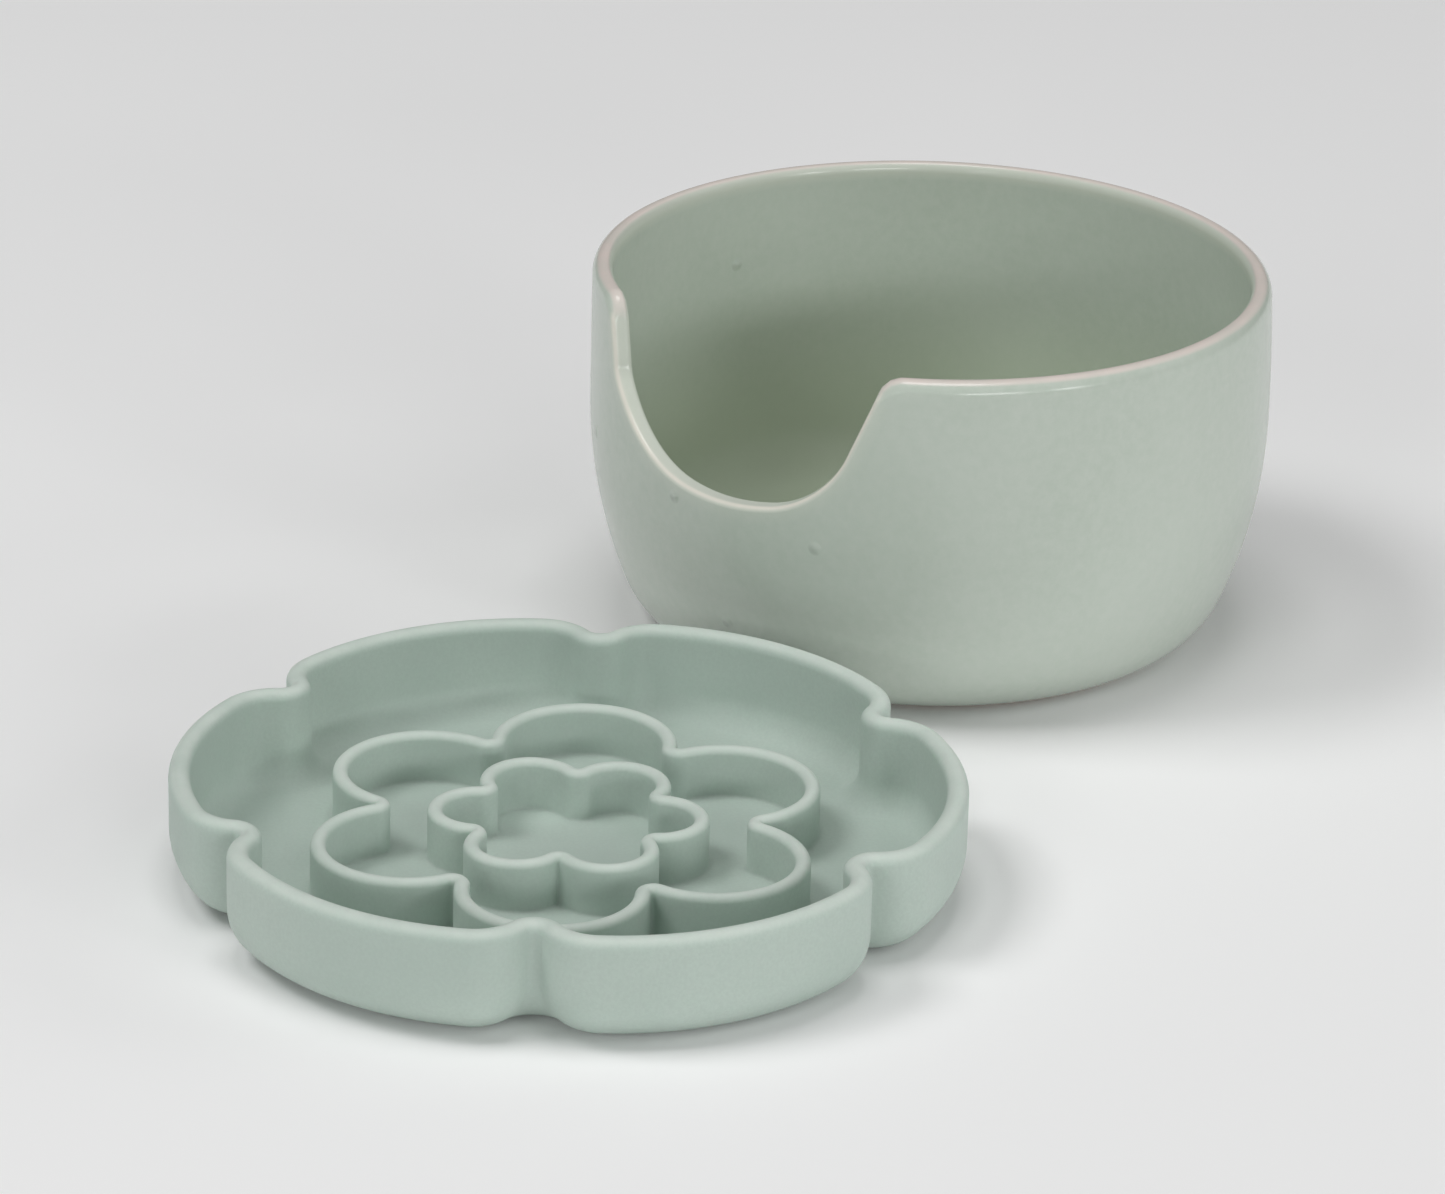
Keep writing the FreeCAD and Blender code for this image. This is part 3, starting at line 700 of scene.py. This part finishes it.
def layered(tree, colour, layers):
    """A colour with others laid over it in turn, each given as (share, colour)."""
    for share, over in layers:
        colour = mix_colour(tree, share, colour, over)
    return colour


def maths(tree, operation, first, second):
    """One step of arithmetic."""
    return add_node(tree, "ShaderNodeMath", operation=operation, inputs={0: first, 1: second}).outputs[0]


def own_place(tree):
    """The object's own coordinates, in metres."""
    return add_node(tree, "ShaderNodeTexCoord").outputs["Object"]


def mask(tree, name):
    """A value stored on the mesh."""
    return add_node(tree, "ShaderNodeAttribute", attribute_name=name).outputs["Fac"]


def linear(red, green, blue):
    """A colour from display values of 0 to 255."""
    channels = []
    for value in (red, green, blue):
        share = value / 255.0
        low = share / 12.92
        high = ((share + 0.055) / 1.055) ** 2.4
        channels.append(low if share <= 0.04045 else high)
    return (*channels, 1.0)


GLAZE_PALE = linear(192, 202, 191)
GLAZE_DEEP = linear(186, 197, 185)
GLAZE_SPECK = linear(200, 207, 198)
# The colour of the painted shade inside the bowl.
GLAZE_PAINTED_SHADE = linear(181, 192, 169)
GLAZE_EDGE = linear(211, 215, 203)
# The colour of the painted highlight in the notch.
GLAZE_NOTCH_HIGHLIGHT = linear(226, 222, 211)
CLAY_THROUGH_GLAZE = linear(225, 213, 206)
BARE_CLAY = linear(214, 200, 184)
SILICONE_DEEP = linear(181, 196, 187)
SILICONE_PALE = linear(189, 203, 194)
SILICONE_GRAIN = linear(172, 186, 178)
# The colour of the painted highlight on the tray's wall tops.
SILICONE_TOP_HIGHLIGHT = linear(214, 221, 214)

# Beads of glaze: turn from the notch, level, and whether it is on the inner face. The radius is in metres.
GLAZE_BEADS = (
    (-103.8, 65.1, True),
    (18.6, 45.5, False),
    (0.2, 20.4, False),
    (-9.4, 48.8, False),
    (-46.4, 74.7, False),
    (-39.3, 50.2, False),
)
BEAD_RADIUS = 0.0019

# Noise: cells per metre, detail, roughness.
GLAZE_CLOUDS = (18.0, 2.0, 0.5)
GLAZE_FLECKS = (420.0, 4.0, 0.65)
# This noise breaks up both the clay wearing through and the painted highlight in the notch.
GLAZE_WEAR_AND_HIGHLIGHT = (110.0, 3.0, 0.5)
GLAZE_SHEEN = (40.0, 3.0, 0.5)
GLAZE_RIPPLE = (55.0, 3.0, 0.5)
SILICONE_CLOUDS = (22.0, 2.0, 0.5)
SILICONE_GRAINS = (900.0, 3.0, 0.6)
SILICONE_FLECKS = (1300.0, 2.0, 0.6)
# This noise breaks up the painted highlight on the wall tops.
SILICONE_HIGHLIGHT_PATCHES = (120.0, 3.0, 0.5)
SILICONE_SHEEN = (60.0, 3.0, 0.5)

# The range of a noise's values that counts, and the range it is stretched to.
CLOUD_RANGE = (0.35, 0.65, 0.0, 1.0)
GLAZE_FLECK_RANGE = (0.35, 0.7, 0.0, 0.45)
GLAZE_WEAR_AND_HIGHLIGHT_RANGE = (0.3, 0.7, 0.7, 1.0)
GLAZE_ROUGHNESS = (0.3, 0.7, 0.18, 0.24)
SILICONE_FLECK_RANGE = (0.35, 0.65, 0.0, 0.3)
# The next range sets how strong the painted highlight on the wall tops is.
SILICONE_HIGHLIGHT_PATCH_RANGE = (0.3, 0.7, 0.35, 0.6)
SILICONE_ROUGHNESS = (0.3, 0.7, 0.5, 0.62)

# Bumps: strength, and height in metres.
RIPPLE_BUMP = (0.012, 0.002)
BEAD_BUMP = (1.0, 0.0005)
GRAIN_BUMP = (0.12, 0.0003)

# How fully three of the glaze's masks show, and shader values. The scatter scale is in metres.
# The first share is how strongly the painted shade inside the bowl shows.
PAINTED_SHADE_SHARE = 0.8
PALE_SHARE = 0.6
UNDER_SHARE = 0.7
CLAY_ROUGHNESS = 0.85
GLAZE_IOR = 1.5
SILICONE_IOR = 1.41
SILICONE_SUBSURFACE = 0.4
SILICONE_SCATTER = (0.8, 1.0, 0.9)
SILICONE_SCATTER_SCALE = 0.004


def bump(tree, height, strength, distance):
    """A bump node over a height from 0 to 1."""
    inputs = {"Height": height, "Strength": strength, "Distance": distance}
    return add_node(tree, "ShaderNodeBump", inputs=inputs)


def beads(tree, where):
    """Small round beads of glaze, as a height from 0 to 1."""
    total = None
    for turn, level, inside in GLAZE_BEADS:
        spot = wall_point(NOTCH_HEADING + turn, level, -HALF_WALL if inside else HALF_WALL) + BOWL_AT
        inputs = {0: where, 1: tuple(spot * MM)}
        apart = add_node(tree, "ShaderNodeVectorMath", operation="DISTANCE", inputs=inputs).outputs["Value"]
        limits = {"Value": apart, 1: BEAD_RADIUS, 2: 0.0}
        settings = {"interpolation_type": "SMOOTHSTEP", "inputs": limits}
        bead = add_node(tree, "ShaderNodeMapRange", **settings).outputs["Result"]
        total = bead if total is None else maths(tree, "ADD", total, bead)
    return total


def glaze():
    """Satin sage glaze over warm clay, which shows through on the rim and on the bare foot; painted shade
    inside, painted highlight in the notch.
    """
    material, tree, shader = new_material("sage_glaze")
    where = own_place(tree)
    clouds = in_range(tree, noise(tree, where, *GLAZE_CLOUDS), *CLOUD_RANGE)
    flecks = in_range(tree, noise(tree, where, *GLAZE_FLECKS), *GLAZE_FLECK_RANGE)
    # Patches for the clay wearing through on the rim and for the painted highlight in the notch.
    patchiness = in_range(tree, noise(tree, where, *GLAZE_WEAR_AND_HIGHLIGHT), *GLAZE_WEAR_AND_HIGHLIGHT_RANGE)
    gloss = in_range(tree, noise(tree, where, *GLAZE_SHEEN), *GLAZE_ROUGHNESS)
    foot = mask(tree, "foot")
    layers = (
        (clouds, GLAZE_PALE),
        (flecks, GLAZE_SPECK),
        # Painted shade inside the bowl.
        (maths(tree, "MULTIPLY", mask(tree, "painted_shade"), PAINTED_SHADE_SHARE), GLAZE_PAINTED_SHADE),
        (maths(tree, "MULTIPLY", mask(tree, "pale"), PALE_SHARE), GLAZE_EDGE),
        (maths(tree, "MULTIPLY", mask(tree, "under"), UNDER_SHARE), GLAZE_EDGE),
        (maths(tree, "MULTIPLY", mask(tree, "thin"), patchiness), CLAY_THROUGH_GLAZE),
        # Painted highlight beside the notch's outer corner, in patches.
        (maths(tree, "MULTIPLY", mask(tree, "line"), patchiness), GLAZE_NOTCH_HIGHLIGHT),
        (foot, BARE_CLAY),
    )
    tree.links.new(layered(tree, GLAZE_DEEP, layers), shader.inputs["Base Color"])
    rough = add_node(tree, "ShaderNodeMix", inputs={0: foot, 2: gloss, 3: CLAY_ROUGHNESS}).outputs[0]
    tree.links.new(rough, shader.inputs["Roughness"])
    ripple = bump(tree, noise(tree, where, *GLAZE_RIPPLE), *RIPPLE_BUMP)
    raised = bump(tree, beads(tree, where), *BEAD_BUMP)
    tree.links.new(ripple.outputs["Normal"], raised.inputs["Normal"])
    tree.links.new(raised.outputs["Normal"], shader.inputs["Normal"])
    shader.inputs["IOR"].default_value = GLAZE_IOR
    return material


def silicone():
    """Matte, faintly translucent moulded silicone, with a painted highlight on its wall tops."""
    material, tree, shader = new_material("sage_silicone")
    where = own_place(tree)
    clouds = in_range(tree, noise(tree, where, *SILICONE_CLOUDS), *CLOUD_RANGE)
    flecks = in_range(tree, noise(tree, where, *SILICONE_FLECKS), *SILICONE_FLECK_RANGE)
    # Patches for the painted highlight on the wall tops.
    patchiness = in_range(tree, noise(tree, where, *SILICONE_HIGHLIGHT_PATCHES), *SILICONE_HIGHLIGHT_PATCH_RANGE)
    rough = in_range(tree, noise(tree, where, *SILICONE_SHEEN), *SILICONE_ROUGHNESS)
    layers = (
        (clouds, SILICONE_PALE),
        (flecks, SILICONE_GRAIN),
        # Painted highlight on the wall tops, in patches.
        (maths(tree, "MULTIPLY", mask(tree, "painted_highlight"), patchiness), SILICONE_TOP_HIGHLIGHT),
    )
    tree.links.new(layered(tree, SILICONE_DEEP, layers), shader.inputs["Base Color"])
    tree.links.new(rough, shader.inputs["Roughness"])
    grain = bump(tree, noise(tree, where, *SILICONE_GRAINS), *GRAIN_BUMP)
    tree.links.new(grain.outputs["Normal"], shader.inputs["Normal"])
    shader.inputs["Subsurface Weight"].default_value = SILICONE_SUBSURFACE
    shader.inputs["Subsurface Radius"].default_value = SILICONE_SCATTER
    shader.inputs["Subsurface Scale"].default_value = SILICONE_SCATTER_SCALE
    shader.inputs["IOR"].default_value = SILICONE_IOR
    return material


# Stage, lights and camera


FLOOR_REACH = 6.0
FLOOR_COLOUR = (0.92, 0.92, 0.92, 1.0)
FLOOR_ROUGHNESS = 0.9


def make_floor():
    """A plain pale floor, wide enough to fill every view."""
    mesh = bpy.data.meshes.new("floor")
    builder = bmesh.new()
    bmesh.ops.create_grid(builder, x_segments=2, y_segments=2, size=FLOOR_REACH)
    builder.to_mesh(mesh)
    builder.free()
    floor = bpy.data.objects.new("floor", mesh)
    bpy.context.scene.collection.objects.link(floor)
    material, _, shader = new_material("pale_floor")
    shader.inputs["Base Color"].default_value = FLOOR_COLOUR
    shader.inputs["Roughness"].default_value = FLOOR_ROUGHNESS
    mesh.materials.append(material)


def area_light(name, around, height, wide, high, watts, glossy):
    """A soft light that faces the set, placed by its direction from the camera's side."""
    lamp = bpy.data.lights.new(name, "AREA")
    lamp.shape = "RECTANGLE"
    lamp.size = wide
    lamp.size_y = high
    lamp.energy = watts
    holder = bpy.data.objects.new(name, lamp)
    turn = math.radians(around)
    lift = math.radians(height)
    flat = LIGHTS_APART * math.cos(lift)
    holder.location = (flat * math.sin(turn), -flat * math.cos(turn), LIGHTS_APART * math.sin(lift))
    holder.rotation_euler = (LIGHTS_AIM - holder.location).to_track_quat("-Z", "Y").to_euler()
    holder.visible_glossy = glossy
    bpy.context.scene.collection.objects.link(holder)


# Name, degrees round from the camera's side (+X is 90), height in degrees, width and height in
# metres, watts, and whether it shows in the glaze.
LIGHTS = (
    ("front_right", 50.0, 22.0, 1.2, 1.2, 9.2, False),
    ("front_high", 45.0, 50.0, 1.2, 1.2, 6.4, False),
    ("front_left", 328.0, 22.0, 1.2, 1.2, 13.2, False),
    ("right", 95.0, 22.0, 1.2, 1.2, 11.6, False),
    ("back_right", 135.0, 22.0, 1.2, 1.2, 3.6, False),
    ("left_high", 275.0, 57.0, 1.2, 1.2, 33.2, False),
    ("overhead", 0.0, 90.0, 1.2, 1.2, 21.6, True),
    ("window", 20.0, 15.0, 1.0, 0.22, 11.2, True),
    ("window_right", 46.0, 15.0, 0.4, 0.24, 6.4, True),
    ("window_left", -18.0, 15.0, 0.16, 0.24, 2.4, True),
)
LIGHTS_APART = 3.0
LIGHTS_AIM = Vector((0.0, 0.0, 0.03))
SURROUND = 0.05


def make_lights():
    """Plain soft studio light: soft lamps around the set and a faint even surround."""
    world = bpy.data.worlds.new("surround")
    bpy.context.scene.world = world
    world.use_nodes = True
    background = world.node_tree.nodes["Background"]
    background.inputs["Color"].default_value = (1.0, 1.0, 1.0, 1.0)
    background.inputs["Strength"].default_value = SURROUND
    for row in LIGHTS:
        area_light(*row)


# The camera's place in metres, its pitch and roll, and its lens as a multiple of the sensor's width.
CAMERA_AT = (-0.0051, -1.2360, 0.5537)
CAMERA_PITCH = 22.783
CAMERA_ROLL = 1.458
SENSOR = 36.0
FOCAL_SHARE = 4.0817


def make_camera():
    """The camera at the photograph's viewing angle. It looks along +Y and down."""
    data = bpy.data.cameras.new("camera")
    data.sensor_width = SENSOR
    data.lens = SENSOR * FOCAL_SHARE
    camera = bpy.data.objects.new("camera", data)
    tilt = Matrix.Rotation(math.radians(90.0 - CAMERA_PITCH), 4, "X")
    roll = Matrix.Rotation(math.radians(CAMERA_ROLL), 4, "Z")
    camera.matrix_world = Matrix.Translation(CAMERA_AT) @ tilt @ roll
    bpy.context.scene.collection.objects.link(camera)
    bpy.context.scene.camera = camera


def main():
    """Both pieces, each on its own body, and the stage around them."""
    bowl = make_bowl()
    bowl.data.materials.append(glaze())
    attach(bowl, "bowl")
    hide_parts("notched_bowl")
    tray = make_tray()
    tray.data.materials.append(silicone())
    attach(tray, "tray")
    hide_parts("palette_tray")
    make_floor()
    make_lights()
    make_camera()
    bpy.context.scene.view_settings.view_transform = "Standard"


main()
